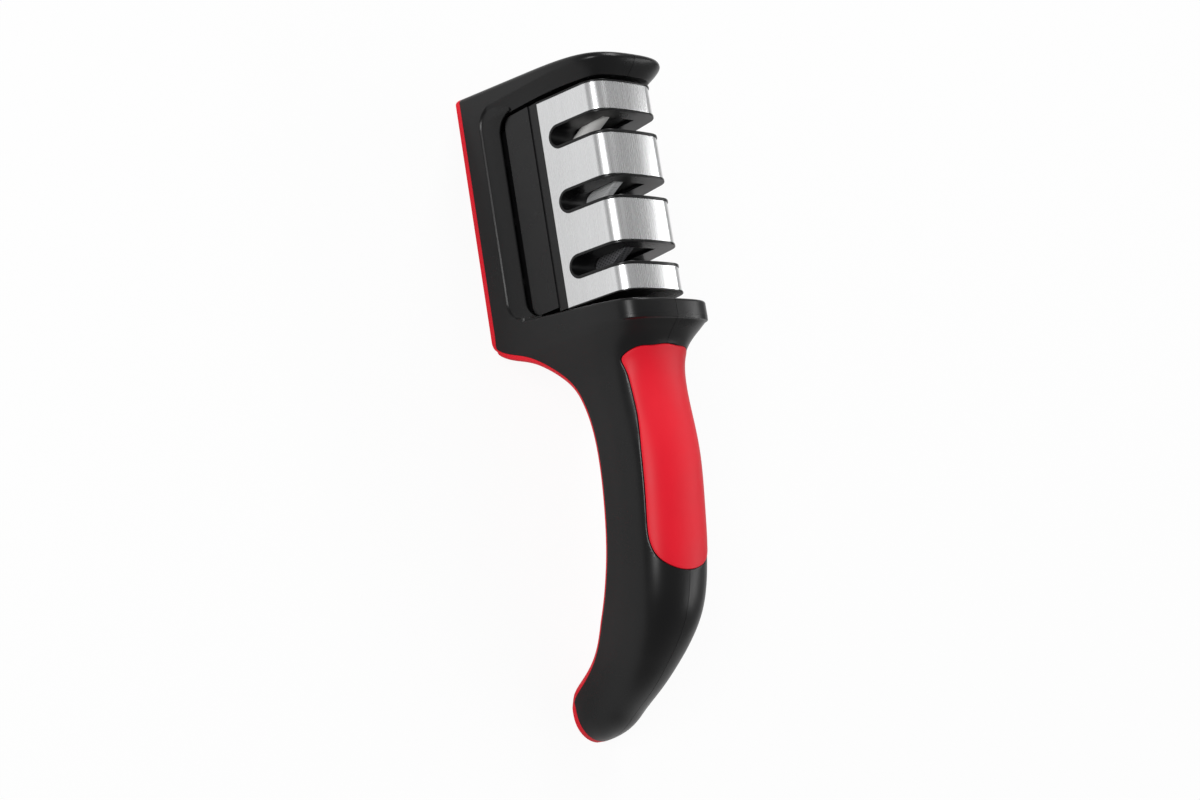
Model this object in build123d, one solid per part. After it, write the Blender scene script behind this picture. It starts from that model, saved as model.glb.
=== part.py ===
from build123d import *
from math import atan2, cos, hypot, radians, sin
import os

# Pull-through knife sharpener: a two-part black housing with a curved handle, and a cartridge with three slots.
# Millimetres. +Z is up, the head end is at -X, the handle points to +X and the near side is at -Y.
# The origin is on the table, under the middle of the whole length and width.

# Whole object
overall_length = 210.7
frame_height = 65.0
frame_half_width = 19.6
sole_thickness = 2.0
overrun = 20.0

# Head frame: its two end walls lean towards the handle as they rise
head_length = 89.6
head_lean = 5.5
rim_lean = 6.7
head_straight_height = 37.0
head_round_share = 0.8
rim_straight_height = 43.9
rim_round_share = 0.88
head_wall_foot = 7.3
dish_depth = 4.2
dish_inset = 2.6
sill_height = 10.0
lip_height = 16.2
lip_half_width = 17.7
window_corner = 6.5
handle_wall_rim_foot = 10.95
handle_wall_rim_top = 5.65
head_edge_round = 1.6
heel_round = 4.0
heel_turn = 60.0
heel_inset = 1.4
toe_round = 1.9
well_half_width = 16.9
well_corner = 3.0
well_end_gap = 0.47

# Handle, drawn as sections along its spine
grip_centre_height = 45.4
grip_half_depth = 11.65
grip_half_width = 14.25
handle_bottom_round = 2.6
handle_round_share = 0.71
quarter_share = 0.5523
side_foot_share = 0.3
root_side_gain = 0.356
root_round_gain = 0.09
tail_depth_share = 0.95
tail_corner_width_gain = 6.0
tail_corner_height_gain = 2.2
tail_round_loss = 0.5
handle_root_overlap = 0.5
# Each section: share of the handle's length, of the grip's centre height, half depth and half width, and its slope
# as a share of the mean slope that centre height over length would give
handle_section_shares = [
    (-0.0322, 0.601, 3.228, 1.366, -0.279),
    (0.0245, 0.832, 1.995, 1.372, 0.009),
    (0.0710, 0.921, 1.380, 1.165, 0.267),
    (0.1460, 0.958, 1.082, 1.032, 0.395),
    (0.3180, 1.000, 1.000, 1.000, -0.042),
    (0.4530, 0.969, 0.987, 0.996, -0.343),
    (0.5880, 0.905, 1.013, 0.989, -0.678),
    (0.6900, 0.802, 1.034, 0.951, -1.565),
    (0.7700, 0.637, 0.944, 0.860, -2.403),
    (0.8370, 0.456, 0.841, 0.775, -3.307),
    (0.8900, 0.258, 0.790, 0.737, -3.686),
    (0.9254, 0.108, 0.755, 0.705, -4.286),
    (0.9408, 0.002, 0.637, 0.660, -9.996),
    (0.9429, -0.070, 0.620, 0.650, -30.60),
]
cavity_inset = 4.1
cavity_sections = (2, 11)
bulkhead_shares = (0.22, 0.46, 0.70)
bulkhead_thickness = 5.0
parting_gap = 0.12

# Locating pins between the halves
pin_radius = 1.3
pin_length = 3.0
pin_clearance = 0.1
head_pin_heights = (26.0, 50.0)
handle_pin_drop = 1.5

# Grip inlay, outline points as shares of its length and half width
inlay_length = 68.4
inlay_half_width = 12.1
inlay_start = 7.0
inlay_depth = 1.5
inlay_groove = 0.15
inlay_foot_height = 36.0
inlay_outline_shares = [
    (0.000, 0.00),
    (0.006, 0.50),
    (0.014, 0.94),
    (0.036, 1.08),
    (0.078, 1.045),
    (0.165, 0.965),
    (0.290, 0.945),
    (0.430, 0.985),
    (0.570, 1.000),
    (0.700, 1.000),
    (0.800, 1.000),
    (0.885, 0.950),
    (0.938, 0.820),
    (0.975, 0.570),
    (1.000, 0.00),
]

# Base plate and its screws
plate_thickness = 2.5
plate_reach = 5.3
plate_side_margin = 1.0
plate_clearance = 0.15
plate_screw_inset = 2.4
plate_screw_spread = 20.0
plate_screw_length = 12.0

# Screws, shared by both groups
screw_radius = 1.25
screw_head_radius = 2.2
screw_head_height = 1.6
screw_recess_width = 0.6
screw_recess_length = 2.6
screw_recess_depth = 0.9
screw_hole_clearance = 0.05
screw_tip_gap = 1.0
quarter_turn = 90.0

# Steel cover
cover_start = 5.77
cover_end_gap = 4.58
cover_first_slot = 12.75
cover_last_slot = 11.55
slot_count = 3
cover_rise = 23.4
cover_crown = 1.2
cover_foot_half_width = 16.0
cover_top_half_width = 12.9
cover_shoulder = 6.3
cover_sheet = 0.5
slot_width = 7.76
slot_floor_rise = 3.0

# Slot liners
liner_wall = 0.85
liner_clearance = 0.05
liner_proud = 0.25
liner_window_half_width = 6.5
liner_window_drop = 4.5

# Cartridge core
core_clearance = 0.05
core_plate_thickness = 2.0
cap_thickness = 0.5
cap_proud = 0.3

# Cartridge base
panel_gap = 2.4
panel_height = 12.0
strip_height = 3.9
panel_half_width = 16.4
panel_corner = 3.0
panel_handle_inset = 1.7
neck_half_width = 14.6
seat_clearance = 0.05
cartridge_wall = 2.0
deck_thickness = 3.0
guide_rib_width = 2.4
guide_rib_height = 10.0
guide_rib_clearance = 0.1
cartridge_screw_spread = 18.0
cartridge_screw_length = 11.0

# Sharpening pieces
vee_rise_share = 0.45
vee_lean = 25.0
piece_top_gap = 5.0
diamond_width = 5.4
diamond_thickness = 3.6
carbide_width = 5.6
carbide_thickness = 3.2
carbide_bevel = 0.5
rod_radius = 2.6
piece_clearance = 0.05
stages = ("ceramic", "carbide", "diamond")

# Places worked out from the sizes above
head_end = -overall_length / 2
tail_end = overall_length / 2
rim_end = head_end + head_length
rim_foot = rim_end - rim_lean
handle_length = tail_end - rim_end
window_start = head_end + head_wall_foot
window_end_foot = rim_end - handle_wall_rim_foot
window_end_top = rim_end - handle_wall_rim_top
cover_head_end = window_start + cover_start
cover_handle_end = window_end_top - cover_end_gap
slot_span = cover_handle_end - cover_last_slot - cover_head_end - cover_first_slot
slot_pitch = slot_span / (slot_count - 1)
slot_places = [cover_head_end + cover_first_slot + i * slot_pitch for i in range(slot_count)]
cartridge_start = cover_head_end - cap_thickness
cartridge_end = cover_handle_end + cap_thickness
panel_end = cartridge_end - panel_handle_inset
neck_start = cartridge_start + panel_corner
neck_end = panel_end - panel_corner
well_start = window_start + dish_depth
well_end = neck_end + well_end_gap
plate_top = sole_thickness + plate_thickness
neck_foot_height = plate_top + seat_clearance
panel_foot_height = lip_height + panel_gap
panel_top_height = panel_foot_height + panel_height
cover_foot_height = panel_top_height + strip_height
cover_top_height = cover_foot_height + cover_rise
slot_bottom = cover_foot_height + slot_floor_rise
vee_height = cover_foot_height + vee_rise_share * cover_rise
piece_length = 2 * (cover_top_height - piece_top_gap - vee_height) / cos(radians(vee_lean))
cartridge_screw_foot = cover_foot_height - deck_thickness - screw_head_height
wide = frame_half_width + overrun
tall = frame_height + overrun


def across(profile, half_width):
    """Extrudes a face drawn in the XZ plane to both sides of the middle."""
    return extrude(profile, amount=half_width, both=True)


def block(x_low, x_high, y_low, y_high, z_low, z_high):
    """A box given by its two corners."""
    size = (x_high - x_low, y_high - y_low, z_high - z_low)
    middle = ((x_low + x_high) / 2, (y_low + y_high) / 2, (z_low + z_high) / 2)
    return Pos(*middle) * Box(*size)


def rounded_top(half_width, foot, top, share):
    """A rounded arch line over the middle, from the right foot to the left foot, fuller with a higher share."""
    height = top - foot
    right = Bezier((half_width, foot), (half_width, foot + share * height), (share * half_width, top), (0, top))
    left = Bezier((0, top), (-share * half_width, top), (-half_width, foot + share * height), (-half_width, foot))
    return right + left


def arch_face(x, inset, straight_height, share):
    """An end wall's outline across its width, standing on the table at x, smaller by inset."""
    plane = Plane(origin=(x, 0, 0), x_dir=(0, 1, 0), z_dir=(1, 0, 0))
    half_width = frame_half_width - inset
    line = Polyline(
        (-half_width, straight_height),
        (-half_width, 0),
        (half_width, 0),
        (half_width, straight_height),
    )
    over = rounded_top(half_width, straight_height, frame_height - inset, share)
    return plane * make_face(line + over)


def handle_station(shares):
    """Spine point, half depth, half width and pitch of one handle section, in real sizes."""
    along, height, depth, width, slope = shares
    length = handle_length + handle_root_overlap
    x = rim_end - handle_root_overlap + along * length
    pitch = atan2(slope * grip_centre_height, length)
    return x, height * grip_centre_height, depth * grip_half_depth, width * grip_half_width, pitch


def handle_face(shares, inset=0.0):
    """One section of the handle: flat bottom with small corners, straight sides and a rounded top.

    Deeper sections at the root are fuller, and slimmer ones at the tail are rounder.
    """
    x, z, depth, width, pitch = handle_station(shares)
    depth_share = depth / grip_half_depth
    plane = Plane(origin=(x, 0, z), x_dir=(0, 1, 0), z_dir=(cos(pitch), 0, sin(pitch)))
    half = width - inset
    low = -depth + inset
    top = depth - inset
    fullness = max(depth_share - 1, 0)
    slimness = max(tail_depth_share - depth_share, 0)
    corner = handle_bottom_round * top / depth
    run = corner * (1 + tail_corner_width_gain * slimness)
    rise = corner * (1 + tail_corner_height_gain * slimness)
    side = -depth * (side_foot_share - root_side_gain * fullness)
    round_share = handle_round_share + root_round_gain * fullness - tail_round_loss * slimness
    run_pull = run * (1 - quarter_share)
    rise_pull = rise * (1 - quarter_share)
    bottom = Line((-half + run, low), (half - run, low))
    right = Bezier((half - run, low), (half - run_pull, low), (half, low + rise_pull), (half, low + rise))
    right_side = Line((half, low + rise), (half, side))
    over = rounded_top(half, side, top, round_share)
    left_side = Line((-half, side), (-half, low + rise))
    left = Bezier((-half, low + rise), (-half, low + rise_pull), (-half + run_pull, low), (-half + run, low))
    return plane * make_face(bottom + right + right_side + over + left_side + left)


def under_line(lift):
    """The handle's underside in the side view, raised into the handle by lift, without its two end points."""
    points = []
    for row in handle_section_shares:
        x, z, depth, width, pitch = handle_station(row)
        points.append((x + sin(pitch) * depth, z - cos(pitch) * depth))
    raised = []
    for before, point, after in zip(points, points[1:], points[2:]):
        run = after[0] - before[0]
        rise = after[1] - before[1]
        norm = hypot(run, rise)
        raised.append((point[0] - lift * rise / norm, point[1] + lift * run / norm))
    return raised


def handle_form(inset=0.0, sections=None):
    """The handle as one smooth body through its sections, or through a range of them."""
    first, last = sections or (0, len(handle_section_shares))
    return loft([handle_face(row, inset) for row in handle_section_shares[first:last]])


def window_face(y, sill):
    """The opening in the frame's side down to the sill, as a face in the XZ plane at y."""
    plane = Plane(origin=(0, y, 0), x_dir=(1, 0, 0), z_dir=(0, -1, 0))
    slope = (window_end_top - window_end_foot) / (frame_height - lip_height)
    outline = Polyline(
        (window_start, tall),
        (window_start, sill),
        (window_end_foot + slope * (sill - lip_height), sill),
        (window_end_top, frame_height),
        (window_end_top, tall),
        close=True,
    )
    face = make_face(outline)
    corners = [v for v in face.vertices() if abs(v.Y - sill) < sole_thickness]
    face = fillet(corners, window_corner)
    return plane * face


def window_cut():
    """Everything that is cut away between the two end walls: a dished window in each side and the gap between."""
    cut = extrude(window_face(0, lip_height), amount=lip_half_width, both=True)
    for side in (-1, 1):
        outer = window_face(side * frame_half_width, sill_height)
        inner = window_face(side * lip_half_width, lip_height)
        cut = cut + loft([outer, inner])
        cut = cut + extrude(outer, amount=overrun, dir=(0, side, 0))
    return cut


def head_wall_dish():
    """The head wall's inner side, which tapers from its rim to the well."""
    rim = arch_face(window_start, 0, head_straight_height, head_round_share)
    back = arch_face(well_start, dish_inset, head_straight_height, head_round_share)
    return loft([rim, back])


def rounded_block(x_low, x_high, half_width, z_low, z_high, corner):
    """A box with its four upright corners rounded."""
    solid = block(x_low, x_high, -half_width, half_width, z_low, z_high)
    return fillet(solid.edges().filter_by(Axis.Z), corner)


def leaning_side():
    """The head frame's side view: both ends lean towards the handle."""
    outline = Polyline(
        (head_end, 0),
        (rim_foot, 0),
        (rim_end, frame_height),
        (head_end + head_lean, frame_height),
        close=True,
    )
    return across(Plane.XZ * make_face(outline), wide)


def head_form():
    """The head frame's outer body before the window is cut."""
    middle = (window_start + window_end_foot) / 2
    head_face = arch_face(head_end, 0, head_straight_height, head_round_share)
    head = extrude(head_face, amount=middle - head_end, dir=(1, 0, 0)) & leaning_side()
    head_edges = [e for e in head.faces().sort_by(Axis.X)[0].edges() if e.center().Z > sole_thickness]
    head = fillet(head_edges, head_edge_round)
    rim_face = arch_face(middle, 0, rim_straight_height, rim_round_share)
    rim = extrude(rim_face, amount=rim_end - middle, dir=(1, 0, 0)) & leaning_side()
    return head + rim


def heel_cut():
    """What the rounded heel under the handle's root takes away."""
    start = (rim_foot - heel_inset, 0)
    turn = JernArc(start=start, tangent=(1, 0), radius=heel_round, arc_size=heel_turn)
    end = turn @ 1
    rest = Polyline(
        (end.X, end.Y),
        (end.X + overrun, end.Y),
        (end.X + overrun, -overrun),
        (start[0], -overrun),
        start,
    )
    return across(Plane.XZ * make_face(turn + rest), wide)


def toe_cut():
    """What the rounded lower edge of the sole at the head end takes away."""
    turn = JernArc(start=(head_end + toe_round, 0), tangent=(-1, 0), radius=toe_round, arc_size=-quarter_turn)
    rest = Polyline(
        (head_end, toe_round),
        (head_end - overrun, toe_round),
        (head_end - overrun, -overrun),
        (head_end + toe_round, -overrun),
        (head_end + toe_round, 0),
    )
    return across(Plane.XZ * make_face(turn + rest), wide)


def outer_form():
    """Housing and sole together: the whole outside of what stands on the table."""
    body = head_form() - window_cut()
    body = body + head_wall_dish() + handle_form()
    limits = block(head_end, tail_end, -frame_half_width, frame_half_width, 0, frame_height)
    return (body & limits) - heel_cut() - toe_cut()


def sole_side():
    """The part of the side view that belongs to the rubber sole."""
    lift = sole_thickness
    line = under_line(lift)
    arch = [point for point in line if point[1] > lift]
    above, below = arch[-1], line[len(arch)]
    fall = (below[0] - above[0], below[1] - above[1])
    foot_x = above[0] + fall[0] * (lift - above[1]) / fall[1]
    start = (rim_foot - heel_inset - lift, lift)
    flat = Line((head_end - overrun, lift), start)
    rise = Spline(start, *arch, (foot_x, lift), tangents=[(1, 0), fall])
    rest = Polyline(
        (foot_x, lift),
        (tail_end + overrun, lift),
        (tail_end + overrun, -overrun),
        (head_end - overrun, -overrun),
        (head_end - overrun, lift),
    )
    return Plane.XZ * make_face(flat + rise + rest)


def well():
    """The well that the cartridge stands in, open to the base plate's recess."""
    return rounded_block(well_start, well_end, well_half_width, plate_top, lip_height + overrun, well_corner)


def base_plate_block(clearance):
    """The space of the base plate, smaller by clearance."""
    x_low = well_start - plate_reach + clearance
    x_high = well_end + plate_reach - clearance
    half = frame_half_width - plate_side_margin - clearance
    return rounded_block(x_low, x_high, half, sole_thickness, plate_top, well_corner)


def plate_screw_places():
    """Where the four screws under the head go up into the end walls."""
    places = []
    for x in (well_start - plate_screw_inset, well_end + plate_screw_inset):
        for side in (-1, 1):
            places.append((x, side * plate_screw_spread / 2))
    return places


def cartridge_screw_places():
    """Where the four screws go up into the core, between the slots."""
    places = []
    for i in range(slot_count - 1):
        for side in (-1, 1):
            places.append((slot_places[i] + slot_pitch / 2, side * cartridge_screw_spread / 2))
    return places


def screw(x, y, head_foot, length):
    """One upright screw with its head down, a cross recess and a tapered tip."""
    head = Pos(x, y, head_foot + screw_head_height / 2) * Cylinder(screw_head_radius, screw_head_height)
    head = fillet(head.edges().sort_by(Axis.Z)[0], screw_head_height / 3)
    tip = 2 * screw_radius
    shank_top = head_foot + screw_head_height + length - tip
    shank = Pos(x, y, (head_foot + screw_head_height + shank_top) / 2) * Cylinder(
        screw_radius, shank_top - head_foot - screw_head_height
    )
    point = Pos(x, y, shank_top + tip / 2) * Cone(screw_radius, screw_radius / 3, tip)
    body = head + shank + point
    for turn in (0, quarter_turn):
        slot = Box(screw_recess_length, screw_recess_width, 2 * screw_recess_depth)
        body = body - Pos(x, y, head_foot) * Rot(0, 0, turn) * slot
    return body


def screw_hole(x, y, foot, length, radius):
    """A round upright hole from foot upwards."""
    return Pos(x, y, foot + length / 2) * Cylinder(radius, length)


def bulkhead_places():
    """Where the cross walls in the handle stand."""
    return [rim_end + share * handle_length for share in bulkhead_shares]


def spine_height(x):
    """Height of the handle's spine at x, on straight lines between its sections."""
    stations = [handle_station(row) for row in handle_section_shares]
    for low, high in zip(stations, stations[1:]):
        if low[0] <= x <= high[0]:
            share = (x - low[0]) / (high[0] - low[0])
            return low[1] + share * (high[1] - low[1])
    return stations[-1][1]


def handle_cavity():
    """The hollow in the handle, crossed by bulkheads that carry the locating pins."""
    hollow = handle_form(cavity_inset, cavity_sections)
    for x in bulkhead_places():
        half = bulkhead_thickness / 2
        hollow = hollow - block(x - half, x + half, -wide, wide, -overrun, tall)
    return hollow


def pin_places():
    """Places of the locating pins in the side view."""
    head_x = (window_start + well_start) / 2
    places = [(head_x, z) for z in head_pin_heights]
    places.append(((rim_foot + window_end_foot) / 2, head_pin_heights[0]))
    places += [(x, spine_height(x) - handle_pin_drop) for x in bulkhead_places()]
    return places


def pins(radius, length):
    """Round pins that lie across the middle plane, from y = 0 to the far side."""
    group = None
    for x, z in pin_places():
        pin = Pos(x, length / 2, z) * Rot(quarter_turn, 0, 0) * Cylinder(radius, length)
        group = pin if group is None else group + pin
    return group


def inlay_outline(clearance):
    """The grip inlay's outline seen from above, as a tall block."""
    length = inlay_length - 2 * clearance
    half_points = []
    for along, width in inlay_outline_shares:
        half_points.append((clearance + along * length, width * (inlay_half_width - clearance)))
    other_points = [(x, -y) for x, y in half_points]
    far_edge = Spline(*half_points, tangents=[(0, 1), (0, -1)])
    near_edge = Spline(*other_points, tangents=[(0, -1), (0, 1)])
    face = make_face(far_edge + near_edge)
    face = Pos(rim_end + inlay_start, 0, inlay_foot_height) * face
    return extrude(face, amount=tall)


def grip_inlay(outside, clearance):
    """The rubber pad let into the handle's top."""
    floor = handle_form(inlay_depth)
    pad = outside & inlay_outline(clearance)
    return pad - floor


def housing(outside):
    """Both housing halves in one body, before they are parted."""
    body = outside - across(sole_side(), wide)
    body = body - well() - base_plate_block(0)
    body = body - handle_cavity()
    body = body - grip_inlay(outside, 0)
    for x, y in plate_screw_places():
        depth = plate_clearance + screw_head_height + plate_screw_length + screw_tip_gap
        body = body - screw_hole(x, y, sole_thickness, depth, screw_radius + screw_hole_clearance)
    return body


def housing_halves(body):
    """The near half with its pins and the far half with their sockets."""
    near = body & block(head_end - overrun, tail_end + overrun, -wide, -parting_gap / 2, -overrun, tall)
    far = body & block(head_end - overrun, tail_end + overrun, parting_gap / 2, wide, -overrun, tall)
    reach = pin_length + parting_gap
    near = near + (Pos(0, -parting_gap, 0) * pins(pin_radius, reach))
    far = far - pins(pin_radius + pin_clearance, reach + pin_clearance)
    return near, far


def base_plate():
    """The plate that closes the head from below."""
    plate = base_plate_block(plate_clearance)
    for x, y in plate_screw_places():
        plate = plate - screw_hole(x, y, 0, plate_top + overrun, screw_radius + screw_hole_clearance)
        seat = screw_head_height + plate_clearance
        plate = plate - screw_hole(x, y, 0, sole_thickness + seat, screw_head_radius + plate_clearance)
    return plate


def base_screws():
    """The four screws under the sole."""
    return [screw(x, y, sole_thickness + plate_clearance, plate_screw_length) for x, y in plate_screw_places()]


def cover_face(x, inset):
    """The cover's outline across its width at x, smaller by inset."""
    plane = Plane(origin=(x, 0, 0), x_dir=(0, 1, 0), z_dir=(1, 0, 0))
    foot = cover_foot_half_width - inset
    top = cover_top_half_width - inset
    shoulder_height = cover_top_height - inset
    side = Polyline(
        (-top, shoulder_height),
        (-foot, cover_foot_height),
        (foot, cover_foot_height),
        (top, shoulder_height),
    )
    crown = ThreePointArc((top, shoulder_height), (0, shoulder_height + cover_crown), (-top, shoulder_height))
    face = make_face(side + crown)
    corners = [v for v in face.vertices() if v.Y > cover_foot_height + cover_crown]
    face = fillet(corners, cover_shoulder - inset)
    return plane * face


def cover_form(inset, x_low, x_high):
    """The cover's shape as a full body between two places."""
    return extrude(cover_face(x_low, inset), amount=x_high - x_low, dir=(1, 0, 0))


def slot_cut(x, half_width, foot):
    """One knife slot: straight sides and a round bottom, cut right across."""
    centre = foot + half_width
    arc = ThreePointArc((x - half_width, centre), (x, foot), (x + half_width, centre))
    sides = Polyline(
        (x + half_width, centre),
        (x + half_width, tall),
        (x - half_width, tall),
        (x - half_width, centre),
    )
    return across(Plane.XZ * make_face(arc + sides), wide)


def cover_shell():
    """The bent steel cover with its three slots."""
    sheet = cover_form(0, cover_head_end, cover_handle_end)
    sheet = sheet - cover_form(cover_sheet, cover_head_end - overrun, cover_handle_end + overrun)
    for x in slot_places:
        sheet = sheet - slot_cut(x, slot_width / 2, slot_bottom)
    return sheet


def slot_liner(x):
    """The thin lip that lines one slot, open in the middle for the sharpening pieces."""
    outer = slot_width / 2 - liner_clearance
    body = slot_cut(x, outer, slot_bottom + liner_clearance)
    body = body - slot_cut(x, outer - liner_wall, slot_bottom + liner_clearance + liner_wall)
    body = body & cover_form(-liner_proud, x - slot_pitch / 2, x + slot_pitch / 2)
    window = block(
        x - slot_width,
        x + slot_width,
        -liner_window_half_width,
        liner_window_half_width,
        slot_bottom - overrun,
        cover_top_height - liner_window_drop,
    )
    return body - window


def lean_piece(x, side, shape):
    """Leans an upright piece about the vee's foot at x. The shape's working face is at its local x = 0."""
    place = Pos(x, side * (core_plate_thickness / 2), vee_height)
    if side > 0:
        shape = mirror(mirror(shape, about=Plane.YZ), about=Plane.XZ)
        lean = Rot(0, vee_lean, 0)
    else:
        lean = Rot(0, -vee_lean, 0)
    return place * lean * shape


def upright_plate(width, thickness, clearance=0.0):
    """A flat plate that stands upright with its working edge at x = 0 and one face at y = 0."""
    half = piece_length / 2 + clearance
    low = Pos((-width) / 2, -thickness / 2, 0)
    return low * Box(width + 2 * clearance, thickness + 2 * clearance, 2 * half)


def diamond_plate(x, side):
    """Coarse stage: a flat file with a raised coat along its working edge."""
    return lean_piece(x, side, upright_plate(diamond_width, diamond_thickness))


def carbide_blade(x, side):
    """Middle stage: a hard metal blade with bevelled edges along its length."""
    plate = upright_plate(carbide_width, carbide_thickness)
    long_edges = plate.edges().filter_by(Axis.Z)
    return lean_piece(x, side, chamfer(long_edges, carbide_bevel))


def ceramic_rod(x, side, clearance=0.0):
    """Fine stage: a round ceramic rod with softened ends."""
    radius = rod_radius + clearance
    rod = Pos(-rod_radius, -rod_radius, 0) * Cylinder(radius, piece_length + 2 * clearance)
    if clearance == 0:
        rod = fillet(rod.edges().filter_by(GeomType.CIRCLE), rod_radius / 4)
    return lean_piece(x, side, rod)


def piece_pocket(stage, x, side):
    """The space that one sharpening piece takes in the core."""
    if stage == "diamond":
        shape = upright_plate(diamond_width, diamond_thickness, piece_clearance)
        return lean_piece(x, side, shape)
    if stage == "carbide":
        shape = upright_plate(carbide_width, carbide_thickness, piece_clearance)
        return lean_piece(x, side, shape)
    return ceramic_rod(x, side, piece_clearance)


def core_half(side):
    """One half of the core under the cover, with the slots and the pockets of its sharpening pieces."""
    body = cover_form(cover_sheet + core_clearance, cover_head_end, cover_handle_end)
    inner = core_plate_thickness / 2
    keep_low, keep_high = (inner, wide) if side > 0 else (-wide, -inner)
    body = body & block(head_end, tail_end, keep_low, keep_high, 0, tall)
    for x in slot_places:
        body = body - slot_cut(x, slot_width / 2, slot_bottom)
    for stage, x in zip(stages, slot_places):
        body = body - piece_pocket(stage, x, side)
    for x, y in cartridge_screw_places():
        depth = screw_head_height + cartridge_screw_length + screw_tip_gap
        body = body - screw_hole(x, y, cartridge_screw_foot, depth, screw_radius + screw_hole_clearance)
    return body


def core_centre_plate():
    """The web between the two core halves, notched for the knife."""
    body = cover_form(cover_sheet + core_clearance, cover_head_end, cover_handle_end)
    inner = core_plate_thickness / 2
    body = body & block(head_end, tail_end, -inner, inner, 0, tall)
    for x in slot_places:
        body = body - slot_cut(x, slot_width / 2, slot_bottom)
    return body


def cartridge_cap(x_low, x_high):
    """The black lip that closes one end of the cover."""
    return cover_form(-cap_proud, x_low, x_high)


def side_panel():
    """The cartridge base's visible block as seen from the side, with rounded lower corners."""
    low, high = cartridge_start, panel_end
    outline = Polyline(
        (low, panel_top_height),
        (low, panel_foot_height),
        (high, panel_foot_height),
        (high, panel_top_height),
        close=True,
    )
    face = make_face(outline)
    corners = [v for v in face.vertices() if v.Y < panel_top_height - panel_corner]
    return Plane.XZ * fillet(corners, panel_corner)


def cartridge_base():
    """The black block that the core stands on, hollow from below, with guide ribs for the well."""
    panel = across(side_panel(), panel_half_width)
    half = cover_foot_half_width
    strip = block(cartridge_start, cover_handle_end, -half, half, panel_top_height, cover_foot_height)
    neck = block(neck_start, neck_end, -neck_half_width, neck_half_width, neck_foot_height, panel_top_height)
    body = panel + strip + neck
    for side in (-1, 1):
        for i in range(slot_count):
            x = neck_start + (i + 0.5) * (neck_end - neck_start) / slot_count
            reach = well_half_width - guide_rib_clearance
            y_low, y_high = sorted((side * (neck_half_width - cartridge_wall), side * reach))
            half = guide_rib_width / 2
            rib_top = neck_foot_height + guide_rib_height
            body = body + block(x - half, x + half, y_low, y_high, neck_foot_height, rib_top)
    deck = cover_foot_height - deck_thickness
    hollow_half = neck_half_width - cartridge_wall
    low, high = neck_start + cartridge_wall, neck_end - cartridge_wall
    body = body - block(low, high, -hollow_half, hollow_half, neck_foot_height - overrun, deck)
    for x, y in cartridge_screw_places():
        body = body - screw_hole(x, y, 0, tall, screw_radius + screw_hole_clearance)
    return body


def cartridge_screws():
    """The four screws that hold the core on the cartridge base."""
    return [screw(x, y, cartridge_screw_foot, cartridge_screw_length) for x, y in cartridge_screw_places()]


def save(name, shape):
    """Writes one node's solids to its file."""
    solids = shape if isinstance(shape, list) else [shape]
    group = []
    for solid in solids:
        group += solid.solids()
    export_step(group[0] if len(group) == 1 else Compound(children=group), f"parts/{name}.step")


def main():
    os.makedirs("parts", exist_ok=True)
    outside = outer_form()
    near, far = housing_halves(housing(outside))
    save("housing_near_half", near)
    save("housing_far_half", far)
    save("sole_pad", outside & across(sole_side(), wide))
    save("grip_inlay", grip_inlay(outside, inlay_groove))
    save("base_plate", base_plate())
    save("base_screws", base_screws())
    save("cartridge_base", cartridge_base())
    save("cartridge_screws", cartridge_screws())
    save("core_near_half", core_half(-1))
    save("core_far_half", core_half(1))
    save("core_centre_plate", core_centre_plate())
    save("cover_shell", cover_shell())
    save("cartridge_cap_head", cartridge_cap(cartridge_start, cover_head_end))
    save("cartridge_cap_handle", cartridge_cap(cover_handle_end, cartridge_end))
    for i, x in enumerate(slot_places):
        save(f"slot_liner_{slot_count - i}", slot_liner(x))
    for side, word in ((-1, "near"), (1, "far")):
        save(f"ceramic_rod_{word}", ceramic_rod(slot_places[0], side))
        save(f"carbide_blade_{word}", carbide_blade(slot_places[1], side))
        save(f"diamond_plate_{word}", diamond_plate(slot_places[2], side))


main()
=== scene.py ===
from math import atan2, cos, hypot, pi, radians, sin, sqrt

import bmesh
import bpy
import numpy as np
from mathutils import Matrix, Vector
from mathutils.bvhtree import BVHTree


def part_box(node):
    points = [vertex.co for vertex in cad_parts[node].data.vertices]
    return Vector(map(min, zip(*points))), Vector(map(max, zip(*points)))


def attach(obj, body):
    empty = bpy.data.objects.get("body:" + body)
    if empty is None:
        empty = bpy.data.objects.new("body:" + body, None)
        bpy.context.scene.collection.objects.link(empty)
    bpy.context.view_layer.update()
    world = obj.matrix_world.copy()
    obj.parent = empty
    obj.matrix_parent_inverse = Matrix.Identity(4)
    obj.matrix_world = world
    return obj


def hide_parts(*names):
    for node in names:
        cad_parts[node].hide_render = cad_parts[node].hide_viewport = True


# Looks of a pull-through knife sharpener: two black housing halves, a red rubber sole and inlay, and a
# cartridge under a brushed steel cover with three slots.
# Metres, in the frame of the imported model: +X to the handle's tail, +Y to the far side, +Z up from the table.

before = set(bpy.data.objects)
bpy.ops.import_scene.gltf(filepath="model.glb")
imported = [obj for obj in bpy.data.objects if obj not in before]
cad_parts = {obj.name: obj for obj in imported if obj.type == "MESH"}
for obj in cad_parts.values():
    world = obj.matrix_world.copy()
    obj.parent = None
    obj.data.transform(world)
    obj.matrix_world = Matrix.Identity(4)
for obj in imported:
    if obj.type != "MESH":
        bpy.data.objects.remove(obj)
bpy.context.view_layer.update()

MM = 0.001


def millimetres(rows):
    """Rows of sizes that are written in millimetres, in metres."""
    return [tuple(value * MM for value in row) for row in rows]


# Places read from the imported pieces
near_low, near_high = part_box("housing_near_half")
_, far_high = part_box("housing_far_half")
plate_low, plate_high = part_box("base_plate")
half_width = far_high.y
frame_top = near_high.z
sole_top = near_low.z

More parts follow.
